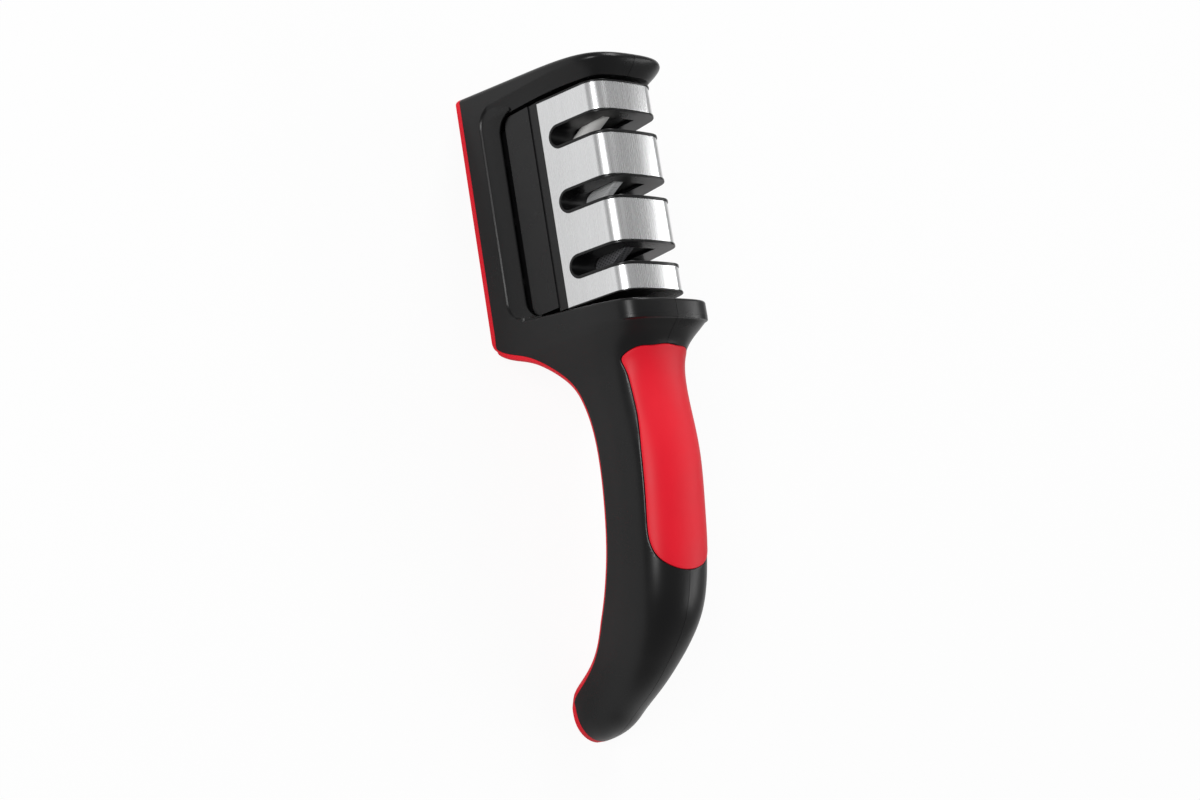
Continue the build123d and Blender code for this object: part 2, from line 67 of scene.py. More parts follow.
# Where the frame's walls start, inside the sole's height, until they are trimmed at the sole
frame_foot = sole_top / 4

# Whole object
overall_length = 210.7 * MM
head_length = 89.6 * MM
parting_gap = 0.13 * MM
seam_gap = 0.06 * MM
overrun = 20 * MM

# End walls of the head frame
head_lean = 5.5 * MM
rim_lean = 6.7 * MM
head_straight_height = 37.0 * MM
head_round_share = 0.8
rim_straight_height = 43.9 * MM
rim_round_share = 0.88
head_round = 1.6 * MM
wall_foot = 7.3 * MM
dish_depth = 4.2 * MM
handle_wall_foot = 10.95 * MM
handle_wall_top = 5.65 * MM
handle_wall_back = 0.6 * MM
handle_wall_round = 0.1 * MM
wall_core_rise = 8 * MM
wall_fill_shares = (0.0, 0.25, 0.5, 0.75)
edge_steps = 6
leg_points = 12
crown_points = 28
foot_points = 10

# Crease of the wall on the handle side: its arc's radius, first angle and turn in degrees, and how far in
# from the outline it ends, as a share of the radius
rim_crease_round = 0.9 * MM
rim_crease_start = 4
rim_crease_turn = 80
rim_crease_end_share = 1.8

# Inner side of the head wall: moves in from its outline and out from the dish. Its crease is crisp below
# soft_from and soft above soft_to.
soft_from = 34 * MM
soft_to = 60 * MM
crisp_crease = millimetres([
    (0.0, 4.6),
    (0.02, 4.32),
    (0.09, 4.12),
    (0.3, 3.85),
    (0.8, 3.25),
    (1.4, 2.4),
    (1.95, 1.5),
    (2.35, 0.75),
    (2.6, 0.25),
    (2.75, 0.0),
])
soft_crease = millimetres([
    (0.0, 4.4),
    (0.12, 4.1),
    (0.45, 3.6),
    (1.0, 3.0),
    (1.7, 2.3),
    (2.5, 1.6),
    (3.3, 0.95),
    (3.9, 0.45),
    (4.3, 0.12),
    (4.5, 0.0),
])

# Sides and well between the end walls
sill_height = 10.0 * MM
lip_height = 16.9 * MM
lip_half_width = 17.7 * MM
well_half_width = 16.9 * MM
well_handle_inset = 13.96 * MM
well_floor_rise = 1.2 * MM
window_corner = 6.5 * MM
side_middle_share = 0.6
slope_middle_out = 0.95 * MM
recess_margin = 0.1 * MM
head_corner_steps = 28
middle_steps = 10
handle_corner_steps = 24

# Rounded edges of the sides: moves out from the outer face, the lip's and the well's half width, and up from
# the sill or the lip
sill_edge = millimetres([(0.0, -0.5), (-0.1, -0.2), (-0.3, 0.0), (-0.6, 0.2), (-0.8, 0.6)])
lip_edge = millimetres([(0.1, -0.5), (-0.12, -0.08), (-0.35, 0.0)])
well_edge = millimetres([(0.12, -0.08), (0.0, -0.5)])

# Sole: its rounded heel and toe, the heel's turn in degrees, how its upper line joins the handle's underside,
# and how much that line rises from tail_sole_start to tail_sole_end
heel_round = 4.0 * MM
heel_turn = 60
heel_inset = 1.4 * MM
toe_round = 1.9 * MM
arc_steps = 12
sole_stations = 160
sole_join_rise = 0.5 * MM
sole_join_share = 0.6
sole_join_pull_share = 0.35
tail_sole_gain = 1.5 * MM
tail_sole_start = 66 * MM
tail_sole_end = 90 * MM

# Handle: how full its sections are, and how slim ones below tail_depth_share of the grip's depth get rounder
grip_centre_height = 45.4 * MM
grip_half_depth = 11.65 * MM
grip_half_width = 14.25 * MM
bottom_round = 2.6 * MM
quarter_share = 0.5523
top_round_share = 0.71
side_foot_share = 0.3
root_side_gain = 0.356
root_round_gain = 0.09
tail_depth_share = 0.95
tail_corner_width_gain = 6.0
tail_corner_height_gain = 2.2
tail_round_loss = 0.5
root_overlap = 0.5 * MM
grip_stations = 220
flat_points = 6
corner_points = 8
top_points = 24

# Each section: share of the handle's length, of the grip's centre height, half depth and half width, and its
# slope as a share of the mean slope that centre height over length would give
handle_section_shares = [
    (-0.0320, 0.694, 2.885, 1.3758, -0.279),
    (-0.0250, 0.694, 2.885, 1.3758, -0.279),
    (-0.0070, 0.731, 2.709, 1.3700, -0.155),
    (0.0260, 0.864, 1.992, 1.3100, 0.030),
    (0.0710, 0.921, 1.449, 1.1310, 0.267),
    (0.1460, 0.958, 1.082, 1.032, 0.395),
    (0.3180, 1.000, 1.000, 1.000, -0.042),
    (0.4530, 0.969, 0.987, 0.996, -0.343),
    (0.5880, 0.905, 1.013, 0.989, -0.678),
    (0.6900, 0.802, 1.034, 0.951, -1.565),
    (0.7700, 0.637, 0.944, 0.860, -2.403),
    (0.8370, 0.456, 0.841, 0.775, -3.307),
    (0.8900, 0.258, 0.790, 0.737, -3.686),
    (0.9254, 0.108, 0.755, 0.705, -4.286),
    (0.9408, 0.002, 0.637, 0.660, -9.996),
    (0.9429, -0.070, 0.620, 0.650, -30.60),
]

# Grip inlay: outline points as shares of its length and half width
inlay_length = 68.4 * MM
inlay_half_width = 12.1 * MM
inlay_start = 7.0 * MM
inlay_spine_share = 0.75
inlay_points = 240
inlay_fill_shares = (0.9, 0.78, 0.64, 0.5, 0.36, 0.22, 0.1, 0.0)
inlay_outline_shares = [
    (0.000, 0.00),
    (0.006, 0.50),
    (0.014, 0.94),
    (0.036, 1.08),
    (0.078, 1.045),
    (0.165, 0.965),
    (0.290, 0.945),
    (0.430, 0.985),
    (0.570, 1.000),
    (0.700, 1.000),
    (0.800, 1.000),
    (0.885, 0.950),
    (0.938, 0.820),
    (0.975, 0.570),
    (1.000, 0.00),
]

# Edges of the inlay's pocket and pad, from below up: moves out from its outline and up from the handle's
# surface
pocket_edge = millimetres([(0.04, -1.5), (0.05, -0.22), (0.12, -0.06), (0.28, 0.03), (0.8, 0.8)])
pad_edge = millimetres([(-0.04, -1.4), (-0.04, -0.2), (-0.08, 0.0), (-0.2, 0.14), (-0.45, 0.2), (-1.2, 0.22)])

# Clean-up of meshes: metres between joined points, degrees between merged faces and at sharp edges
join_distance = 1e-6
flat_angle = 0.6
housing_sharp_angle = 32
piece_sharp_angle = 28
bevel_segments = 2
normal_weight = 70

# Camera, fitted to the photograph's 1200 x 800 frame. The sensor's width is in millimetres.
photo_width = 1200
focal_pixels = 2092.55
sensor_width = 36.0
camera_clip_start = 0.01
camera_place = (0.11615, -0.4397, 0.5001)
camera_right = (0.1558, 0.7437, 0.6501)
camera_up = (-0.9721, -0.0014, 0.2346)
camera_back = (0.1754, -0.6685, 0.7227)

# Floor, world and lamps. Each lamp has a name, a place, a point that it faces, its size and its watts
floor_reach = 4.0
floor_shade = 0.85
floor_glow_share = 0.93
world_strength = 0.3
lamps = [
    ("front", (-0.05, -0.85, 0.75), (0, 0, 0.03), (0.6, 0.32), 6.2),
    ("head", (-0.7, 0.2, 0.6), (-0.08, 0, 0.05), (0.25, 0.5), 3.2),
    ("back", (0.1, 0.75, 0.55), (0, 0, 0.04), (0.9, 0.16), 2.2),
]

# The part of a noise's range that holds most of it
noise_low = 0.3
noise_high = 0.7

# Worked out from the sizes above
head_end = -overall_length / 2
tail_end = overall_length / 2
rim_end = head_end + head_length
rim_foot = rim_end - rim_lean
crease_x = head_end + wall_foot
dish_x = crease_x + dish_depth
handle_length = tail_end - rim_end
head_arch = (head_straight_height, head_round_share)
rim_arch = (rim_straight_height, rim_round_share)


# Meshes

def mesh_object(name, verts, faces):
    mesh = bpy.data.meshes.new(name)
    mesh.from_pydata([tuple(v) for v in verts], [], faces)
    obj = bpy.data.objects.new(name, mesh)
    bpy.context.scene.collection.objects.link(obj)
    tidy_mesh(obj)
    return obj


def tidy_mesh(obj):
    """Joins double points, drops empty faces and turns all faces outwards."""
    shape = bmesh.new()
    shape.from_mesh(obj.data)
    bmesh.ops.remove_doubles(shape, verts=shape.verts, dist=join_distance)
    bmesh.ops.dissolve_degenerate(shape, edges=shape.edges, dist=join_distance / 10)
    bmesh.ops.recalc_face_normals(shape, faces=shape.faces)
    shape.to_mesh(obj.data)
    shape.free()


def ring_body(name, rings, capped=True):
    """A closed body through rings of equally many points. Uncapped, its end rings are drawn in to a line."""
    count = len(rings[0])
    verts = [p for ring in rings for p in ring]
    faces = []
    for i in range(len(rings) - 1):
        for k in range(count):
            a = i * count + k
            b = i * count + (k + 1) % count
            faces.append((a, b, b + count, a + count))
    if capped:
        faces.append(tuple(range(count)))
        faces.append(tuple(reversed(range((len(rings) - 1) * count, len(rings) * count))))
    return mesh_object(name, verts, faces)


def side_prism(name, polygon, half):
    """A polygon of the side view carried across to both sides."""
    near = [(x, -half, z) for x, z in polygon]
    far = [(x, half, z) for x, z in polygon]
    return ring_body(name, [near, far])


def box_body(name, low, high):
    corners = [(low[0], low[1]), (high[0], low[1]), (high[0], high[1]), (low[0], high[1])]
    return ring_body(name, [[(x, y, low[2]) for x, y in corners], [(x, y, high[2]) for x, y in corners]])


def settle(obj):
    """Applies the object's modifiers to its mesh."""
    graph = bpy.context.evaluated_depsgraph_get()
    mesh = bpy.data.meshes.new_from_object(obj.evaluated_get(graph))
    obj.modifiers.clear()
    old = obj.data
    obj.data = mesh
    bpy.data.meshes.remove(old)


def combine(target, tool, operation, keep_tool=False):
    """Joins, cuts or meets target with tool."""
    modifier = target.modifiers.new("combine", "BOOLEAN")
    modifier.operation = operation
    modifier.object = tool
    modifier.solver = "MANIFOLD"
    settle(target)
    if not keep_tool:
        bpy.data.objects.remove(tool)
    return target


def copy_of(obj, name):
    twin = obj.copy()
    twin.data = obj.data.copy()
    twin.name = name
    bpy.context.scene.collection.objects.link(twin)
    return twin


def smooth(obj, angle):
    """Smooth shading with sharp edges where faces meet at more than angle."""
    for polygon in obj.data.polygons:
        polygon.use_smooth = True
    obj.data.set_sharp_from_angle(angle=radians(angle))
    modifier = obj.modifiers.new("weighted", "WEIGHTED_NORMAL")
    modifier.keep_sharp = True
    modifier.weight = normal_weight


# Curves

def ease(value, start, end):
    """From 0 at start to 1 at end, with a gentle beginning and end."""
    t = min(max((value - start) / (end - start), 0), 1)
    return t * t * (3 - 2 * t)


def cubic_spline(points, places, closed=False):
    """Smooth curve through points, read at places from 0 to 1 of its length.

    The length is that of the straight lines from point to point, in the points' first two values.
    """
    p = np.array(points, float)
    if closed:
        p = np.vstack([p, p[:1]])
    steps = np.linalg.norm(np.diff(p[:, :2], axis=0), axis=1)
    t = np.concatenate([[0], np.cumsum(steps)])
    n = len(p)
    matrix = np.zeros((n, n))
    right = np.zeros(p.shape)
    for i in range(1, n - 1):
        matrix[i, i - 1] = steps[i - 1]
        matrix[i, i] = 2 * (steps[i - 1] + steps[i])
        matrix[i, i + 1] = steps[i]
        right[i] = 6 * ((p[i + 1] - p[i]) / steps[i] - (p[i] - p[i - 1]) / steps[i - 1])
    matrix[0, 0] = 1
    if closed:
        matrix[0, n - 1] = -1
        matrix[n - 1, 0] = 2 * steps[0]
        matrix[n - 1, 1] = steps[0]
        matrix[n - 1, n - 2] = steps[-1]
        matrix[n - 1, n - 1] = 2 * steps[-1]
        right[n - 1] = 6 * ((p[1] - p[0]) / steps[0] - (p[n - 1] - p[n - 2]) / steps[-1])
    else:
        matrix[n - 1, n - 1] = 1
    bend = np.linalg.solve(matrix, right)
    out = []
    for place in places:
        at = min(max(place, 0), 1) * t[-1]
        i = min(int(np.searchsorted(t, at, side="right")) - 1, n - 2)
        h = steps[i]
        a = (t[i + 1] - at) / h
        b = (at - t[i]) / h
        value = a * p[i] + b * p[i + 1]
        value = value + ((a**3 - a) * bend[i] + (b**3 - b) * bend[i + 1]) * h * h / 6
        out.append(value)
    return out


def bezier(a, b, c, d, count):
    """Points along one cubic curve, without its end."""
    points = []
    for i in range(count):
        t = i / count
        s = 1 - t
        weights = (s**3, 3 * s * s * t, 3 * s * t * t, t**3)
        points.append(tuple(sum(w * q[k] for w, q in zip(weights, (a, b, c, d))) for k in range(2)))
    return points


def line_points(a, b, count):
    """Points along one straight line, without its end."""
    return [tuple(a[k] + (b[k] - a[k]) * i / count for k in range(2)) for i in range(count)]


# Handle

def handle_outline(depth, width):
    """One section of the handle as points round it. Deep ones at the root are fuller, slim ones rounder."""
    share = depth / grip_half_depth
    fullness = max(share - 1, 0)
    slimness = max(tail_depth_share - share, 0)
    run = bottom_round * (1 + tail_corner_width_gain * slimness)
    rise = bottom_round * (1 + tail_corner_height_gain * slimness)
    run_pull, rise_pull = run * (1 - quarter_share), rise * (1 - quarter_share)
    side = -depth * (side_foot_share - root_side_gain * fullness)
    arch = side + (top_round_share + root_round_gain * fullness - tail_round_loss * slimness) * (depth - side)
    over = width * (arch - side) / (depth - side)
    foot, wall = (width - run, -depth), (width, rise - depth)
    half = line_points((0, -depth), foot, flat_points)
    half += bezier(foot, (width - run_pull, -depth), (width, rise_pull - depth), wall, corner_points)
    half += line_points(wall, (width, side), flat_points)
    half += bezier((width, side), (width, arch), (over, depth), (0, depth), top_points)
    return half + [(0, depth)] + [(-y, z) for y, z in reversed(half[1:])]


def handle_stations(count):
    """The handle's sections, evenly spread: spine x and z, half depth, half width and pitch."""
    length = handle_length + root_overlap
    rows = []
    for along, height, depth, width, slope in handle_section_shares:
        rows.append(
            (
                rim_end - root_overlap + along * length,
                height * grip_centre_height,
                depth * grip_half_depth,
                width * grip_half_width,
                atan2(slope * grip_centre_height, length),
            )
        )
    return cubic_spline(rows, [i / (count - 1) for i in range(count)])


def station_point(row, across, up):
    """A point of one station's section, by how far it lies across and up from the spine."""
    x, z, _, _, pitch = row
    return (x - up * sin(pitch), across, z + up * cos(pitch))


def handle_body():
    rings = []
    for row in handle_stations(grip_stations):
        rings.append([station_point(row, a, b) for a, b in handle_outline(row[2], row[3])])
    body = ring_body("handle", rings)
    low = (head_end, -half_width, -overrun)
    high = (tail_end, half_width, frame_top)
    return combine(body, box_body("handle_limits", low, high), "INTERSECT")


# Head frame

def arch_outline(inset, foot, straight, share):
    """An end wall's outline, moved in by inset: from the far foot over the top to the near foot and back."""
    w, top = half_width, frame_top
    rise = top - straight
    points = line_points((w, foot), (w, straight), leg_points)
    points += bezier((w, straight), (w, straight + share * rise), (share * w, top), (0, top), crown_points)
    points += bezier((0, top), (-share * w, top), (-w, straight + share * rise), (-w, straight), crown_points)
    points += line_points((-w, straight), (-w, foot), leg_points) + [(-w, foot)]
    moved = []
    for i, (y, z) in enumerate(points):
        if i == 0:
            ty, tz = 0, 1
        elif i == len(points) - 1:
            ty, tz = 0, -1
        else:
            ty = points[i + 1][0] - points[i - 1][0]
            tz = points[i + 1][1] - points[i - 1][1]
        norm = hypot(ty, tz)
        moved.append((y - inset * tz / norm, z + inset * ty / norm))
    return moved + line_points(moved[-1], moved[0], foot_points)[1:]


def wall_ring(outline, foot, x_of_height, share=1.0):
    """A ring of an end wall at the x that its height gives, drawn in towards the middle line by share."""
    ring = []
    low, high = foot + wall_core_rise, frame_top - half_width
    for y, z in outline:
        middle = min(max(z, low), high)
        z_in = middle + (z - middle) * share
        ring.append((x_of_height(z_in), y * share, z_in))
    return ring


def end_wall(name, foot, arch, outer_x, outer_round, inner_x, inner_steps, soft_steps=None):
    """An end wall: outer face, rounded edge, band and inner face.

    inner_steps are moves in from its outline and out from inner_x. soft_steps, where given, take their place
    towards the top of the arch.
    """
    side = 1 if outer_x(0) > inner_x(0) else -1
    face = arch_outline(outer_round, foot, *arch)
    rings = [wall_ring(face, foot, outer_x, share) for share in wall_fill_shares]
    for i in range(edge_steps + 1):
        angle = pi / 2 * i / edge_steps
        back = outer_round * (1 - cos(angle))
        edge = arch_outline(outer_round * (1 - sin(angle)), foot, *arch)
        rings.append(wall_ring(edge, foot, lambda z: outer_x(z) - side * back))
    for (inset, shift), (soft_inset, soft_shift) in zip(inner_steps, soft_steps or inner_steps):
        edge = arch_outline(inset, foot, *arch)
        crisp = wall_ring(edge, foot, lambda z: inner_x(z) + side * shift)
        edge = arch_outline(soft_inset, foot, *arch)
        soft = wall_ring(edge, foot, lambda z: inner_x(z) + side * soft_shift)
        ring = []
        for p, q in zip(crisp, soft):
            t = ease(p[2], soft_from, soft_to)
            ring.append(tuple(u + (v - u) * t for u, v in zip(p, q)))
        rings.append(ring)
    for share in reversed(wall_fill_shares):
        rings.append(wall_ring(edge, foot, lambda z: inner_x(z) + side * soft_shift, share))
    return ring_body(name, rings, capped=False)


def head_outer_x(z):
    return head_end + head_lean * z / frame_top


def rim_outer_x(z):
    return rim_end - rim_lean * (frame_top - z) / frame_top


def hidden_outer_x(z):
    """The outer face of the wall on the handle side, inside the handle's root."""
    return rim_outer_x(z) - handle_wall_back


def handle_inner_x(z):
    """The leaning inner face of the wall on the handle side."""
    slope = (handle_wall_foot - handle_wall_top) / (frame_top - lip_height)
    return rim_end - handle_wall_foot + slope * (z - lip_height)


def dish_floor_x(z):
    """The upright floor of the dish in the head wall's inner side."""
    return dish_x


def head_wall():
    """The end wall at the head. Its inner side falls from a crease to the well in a dish."""
    return end_wall(
        "head_wall", frame_foot, head_arch, head_outer_x, head_round, dish_floor_x, crisp_crease, soft_crease
    )


def handle_wall():
    """The end wall on the handle side."""
    steps = []
    for i in range(edge_steps + 1):
        angle = radians(rim_crease_start + rim_crease_turn * i / edge_steps)
        steps.append((rim_crease_round * (1 - cos(angle)), rim_crease_round * (1 - sin(angle))))
    steps.append((rim_crease_round * rim_crease_end_share, 0))
    return end_wall(
        "handle_wall", frame_foot, rim_arch, hidden_outer_x, handle_wall_round, handle_inner_x, steps
    )


def corner_rise(gap):
    """How far the sill curves up at a distance from an end wall."""
    if gap >= window_corner:
        return 0.0
    left = window_corner - max(gap, 0)
    return window_corner - sqrt(window_corner**2 - left**2)


def trough_places():
    """The x places of the trough's sections, close together towards the end walls."""
    reach = window_corner + dish_depth
    places = [head_end + head_lean]
    for i in range(head_corner_steps + 1):
        places.append(crease_x + reach * (1 - cos(pi / 2 * i / head_corner_steps)))
    middle_start = places[-1]
    middle_end = handle_inner_x(sill_height) - window_corner
    for i in range(1, middle_steps + 1):
        places.append(middle_start + (middle_end - middle_start) * i / middle_steps)
    run = handle_inner_x(lip_height) - middle_end
    for i in range(1, handle_corner_steps + 1):
        places.append(middle_end + run * sin(pi / 2 * i / handle_corner_steps))
    places.append(rim_end - handle_wall_foot + root_overlap)
    return places


def trough():
    """The frame's base between the end walls: low sides that slope up to a lip, and the well inside."""
    rings = []
    for x in trough_places():
        sill = sill_height + max(corner_rise(x - crease_x), corner_rise(handle_inner_x(sill_height) - x))
        lip = lip_height + max(corner_rise(x - dish_x), corner_rise(handle_inner_x(lip_height) - x))
        side = [(half_width, frame_foot), (half_width, sill_height * side_middle_share)]
        side += [(half_width + out, sill + up) for out, up in sill_edge]
        side.append((lip_half_width + slope_middle_out, (sill + lip) / 2))
        side += [(lip_half_width + out, lip + up) for out, up in lip_edge]
        side += [(well_half_width + out, lip + up) for out, up in well_edge]
        side.append((well_half_width, sole_top + well_floor_rise))
        ring = [(x, y, z) for y, z in side]
        ring += [(x, -y, z) for y, z in reversed(side)]
        rings.append(ring)
    return ring_body("trough", rings)


def shelf():
    """Fills the well's end on the handle side, below the lip."""
    low = (rim_end - well_handle_inset, -well_half_width - root_overlap, sole_top / 2)
    high = (rim_foot - root_overlap, well_half_width + root_overlap, lip_height - root_overlap)
    return box_body("shelf", low, high)


def plate_recess():
    """The base plate's place in the frame, open below."""
    low = (plate_low.x - recess_margin, plate_low.y - recess_margin, -overrun)
    high = (plate_high.x + recess_margin, plate_high.y + recess_margin, plate_high.z)
    return box_body("plate_recess", low, high)


# Sole

def sole_side_polygon(lift):
    """The side view's line between sole and housing, moved up by lift, closed below the table."""
    under = []
    for row in handle_stations(sole_stations):
        x, _, z = station_point(row, 0, -row[2])
        under.append((x, z))
    raise_by = sole_top + lift
    raised = []
    for before, point, after in zip(under, under[1:], under[2:]):
        run, rise = after[0] - before[0], after[1] - before[1]
        norm = hypot(run, rise)
        move = raise_by + tail_sole_gain * ease(point[0], tail_sole_start, tail_sole_end)
        raised.append((point[0] - move * rise / norm, point[1] + move * run / norm))
    start_x = rim_foot - heel_inset - sole_top
    keep = [q for q in raised if q[1] > raise_by + sole_join_rise and q[0] > start_x + heel_round]
    first, last = keep[0], keep[-1]
    reach = (first[0] - start_x) * sole_join_share
    pull = reach * sole_join_pull_share
    slope = (keep[1][1] - first[1]) / (keep[1][0] - first[0])
    back = (first[0] - pull, first[1] - pull * slope)
    points = [(head_end - overrun, raise_by)]
    points += bezier((start_x, raise_by), (start_x + reach, raise_by), back, first, arc_steps)
    points += keep
    fall = (last[0] - keep[-2][0]) / (last[1] - keep[-2][1])
    points.append((last[0] + fall * (raise_by - last[1]), raise_by))
    points.append((tail_end + overrun, raise_by))
    points.append((tail_end + overrun, -overrun))
    points.append((head_end - overrun, -overrun))
    return points


def heel_cut():
    """What the rounded heel under the handle's root takes away."""
    points = []
    for i in range(arc_steps + 1):
        angle = radians(heel_turn) * i / arc_steps
        x = rim_foot - heel_inset + heel_round * sin(angle)
        points.append((x, heel_round * (1 - cos(angle))))
    end = points[-1]
    points += [(end[0] + overrun, end[1]), (end[0] + overrun, -overrun), (points[0][0], -overrun)]
    return side_prism("heel_cut", points, 2 * half_width)


def toe_cut():
    """What the rounded lower edge of the sole at the head end takes away."""
    points = []
    for i in range(arc_steps + 1):
        angle = pi / 2 * i / arc_steps
        points.append((head_end + toe_round * (1 - sin(angle)), toe_round * (1 - cos(angle))))
    points += [(head_end - overrun, toe_round), (head_end - overrun, -overrun), (points[0][0], -overrun)]
    return side_prism("toe_cut", points, 2 * half_width)


def sole_body(handle):
    """The red sole under the head, the arch and the tail. It uses the handle up."""
    sole = end_wall("sole", 0.0, head_arch, head_outer_x, head_round, rim_outer_x, [(0, root_overlap)])
    combine(sole, handle, "UNION")
    combine(sole, side_prism("under_housing", sole_side_polygon(-seam_gap), 2 * half_width), "INTERSECT")
    low = (head_end - overrun, -half_width, 0)
    high = (tail_end + overrun, half_width, frame_top)
    combine(sole, box_body("above_table", low, high), "INTERSECT")
    combine(sole, heel_cut(), "DIFFERENCE")
    combine(sole, toe_cut(), "DIFFERENCE")
    return sole


# Inlay

def inlay_outline():
    """The grip inlay's outline seen from above."""
    points = [(a * inlay_length, w * inlay_half_width) for a, w in inlay_outline_shares]
    points += [(x, -y) for x, y in reversed(points[1:-1])]
    loop = cubic_spline(points, [i / inlay_points for i in range(inlay_points)], closed=True)
    return [(rim_end + inlay_start + p[0], p[1]) for p in loop]


def inlay_body(name, surface, edge):
    """A pad on the handle's top. edge is moves out from its outline and up from surface, from below up."""
    loop = inlay_outline()
    start = rim_end + inlay_start
    spine = (start + inlay_half_width * inlay_spine_share, start + inlay_length - inlay_half_width)

    def on_surface(x, y, height):
        hit, normal, _, _ = surface.ray_cast(Vector((x, y, 2 * frame_top)), Vector((0, 0, -1)))
        return hit + normal * height

    def outward(k, move):
        a, b = loop[k - 1], loop[(k + 1) % inlay_points]
        tx, ty = b[0] - a[0], b[1] - a[1]
        norm = hypot(tx, ty)
        return loop[k][0] - move * ty / norm, loop[k][1] + move * tx / norm

    def ring(move, height, share=1.0):
        points = []
        for k in range(inlay_points):
            x, y = outward(k, move)
            middle = min(max(x, spine[0]), spine[1])
            points.append(on_surface(middle + (x - middle) * share, y * share, height))
        return points

    rings = [ring(*edge[0], share) for share in reversed(inlay_fill_shares)]
    rings += [ring(move, height) for move, height in edge]
    rings += [ring(*edge[-1], share) for share in inlay_fill_shares]
    return ring_body(name, rings, capped=False)


# Housing

def part_halves(body):
    """Cuts the housing at the middle plane and closes both sides."""
    halves = []
    for name, side in (("housing_near", -1), ("housing_far", 1)):
        piece = copy_of(body, name)
        inner, outer = side * parting_gap / 2, side * 2 * half_width
        low = (head_end - overrun, min(inner, outer), -overrun)
        high = (tail_end + overrun, max(inner, outer), frame_top + overrun)
        combine(piece, box_body("half_box", low, high), "INTERSECT")
        halves.append(piece)
    bpy.data.objects.remove(body)
    return halves


def housing_body(handle, surface):
    """The housing in one piece, with the inlay's pocket in the handle's surface."""
    body = head_wall()
    combine(body, trough(), "UNION")
    combine(body, handle_wall(), "UNION")
    combine(body, shelf(), "UNION")
    combine(body, handle, "UNION", keep_tool=True)
    combine(body, side_prism("above_sole", sole_side_polygon(seam_gap), 2 * half_width), "DIFFERENCE")
    combine(body, plate_recess(), "DIFFERENCE")
    combine(body, inlay_body("pocket", surface, pocket_edge), "DIFFERENCE")
    return body


def housing_and_sole():
    """The housing's two halves, the sole and the inlay."""
    handle = handle_body()
    surface = BVHTree.FromObject(handle, bpy.context.evaluated_depsgraph_get())
    body = housing_body(handle, surface)
    pad = inlay_body("grip_pad", surface, pad_edge)
    sole = sole_body(handle)
    near, far = part_halves(body)
    return near, far, sole, pad


# Materials

def principled(name, base, roughness, metallic=0.0, specular=0.5):
    material = bpy.data.materials.new(name)
    material.use_nodes = True
    shader = material.node_tree.nodes["Principled BSDF"]
    shader.inputs["Base Color"].default_value = (*base, 1)
    shader.inputs["Roughness"].default_value = roughness
    shader.inputs["Metallic"].default_value = metallic
    shader.inputs["Specular IOR Level"].default_value = specular
    return material, shader


def node(material, kind, **inputs):
    made = material.node_tree.nodes.new(kind)
    for key, value in inputs.items():
        made.inputs[key.replace("_", " ")].default_value = value
    return made


def link(material, a, out, b, into):
    material.node_tree.links.new(a.outputs[out], b.inputs[into])


def noise_at(material, scale, stretch=(1, 1, 1), detail=3.0, roughness=0.5):
    """Noise in the object's own coordinates, scale in cells a metre, stretched along the axes."""
    place = node(material, "ShaderNodeTexCoord")
    mapping = node(material, "ShaderNodeMapping", Scale=stretch)
    link(material, place, "Object", mapping, "Vector")
    noise = node(material, "ShaderNodeTexNoise", Scale=scale, Detail=detail, Roughness=roughness)
    link(material, mapping, "Vector", noise, "Vector")
    return noise


def ranged(material, noise, low=0.0, high=1.0):
    """Spreads a noise from low to high."""
    inputs = {"From_Min": noise_low, "From_Max": noise_high, "To_Min": low, "To_Max": high}
    ramp = node(material, "ShaderNodeMapRange", **inputs)
    link(material, noise, 0, ramp, "Value")
    return ramp


def glossed(material, shader, noise, low, high):
    """Varies the roughness from low to high with a noise."""
    link(material, ranged(material, noise, low, high), 0, shader, "Roughness")


def toned(material, shader, factor, base, low_share, high_share):
    """Varies the colour between two shares of base with a factor from 0 to 1."""
    mix = node(material, "ShaderNodeMix")
    mix.data_type = "RGBA"
    mix.inputs["A"].default_value = (*(c * low_share for c in base), 1)
    mix.inputs["B"].default_value = (*(c * high_share for c in base), 1)
    link(material, factor, 0, mix, "Factor")
    link(material, mix, "Result", shader, "Base Color")


def bumped(material, shader, source, strength, distance, before=None):
    """Raises the surface by source, over an earlier bump where one is given."""
    bump = node(material, "ShaderNodeBump", Strength=strength, Distance=distance)
    link(material, source, 0, bump, "Height")
    if before is not None:
        link(material, before, "Normal", bump, "Normal")
    link(material, bump, "Normal", shader, "Normal")


def black_plastic(name, base, roughness):
    """Satin moulded plastic: a fine spark-eroded grain and slow changes of gloss."""
    material, shader = principled(name, base, roughness, specular=0.34)
    slow = noise_at(material, scale=60, detail=2.0)
    fine = noise_at(material, scale=5200, detail=2.0)
    glossed(material, shader, slow, low=roughness - 0.04, high=roughness + 0.05)
    toned(material, shader, ranged(material, slow), base, low_share=0.85, high_share=1.15)
    bumped(material, shader, fine, strength=0.08, distance=0.04 * MM)
    return material


def red_rubber(name, base=(0.80, 0.006, 0.022)):
    """Soft matt rubber with a dusty fine grain."""
    material, shader = principled(name, base, roughness=0.5, specular=0.3)
    slow = noise_at(material, scale=45, detail=3.0)
    fine = noise_at(material, scale=4200, detail=2.0)
    glossed(material, shader, slow, low=0.42, high=0.52)
    toned(material, shader, ranged(material, slow), base, low_share=0.93, high_share=1.05)
    bumped(material, shader, fine, strength=0.12, distance=0.05 * MM)
    return material


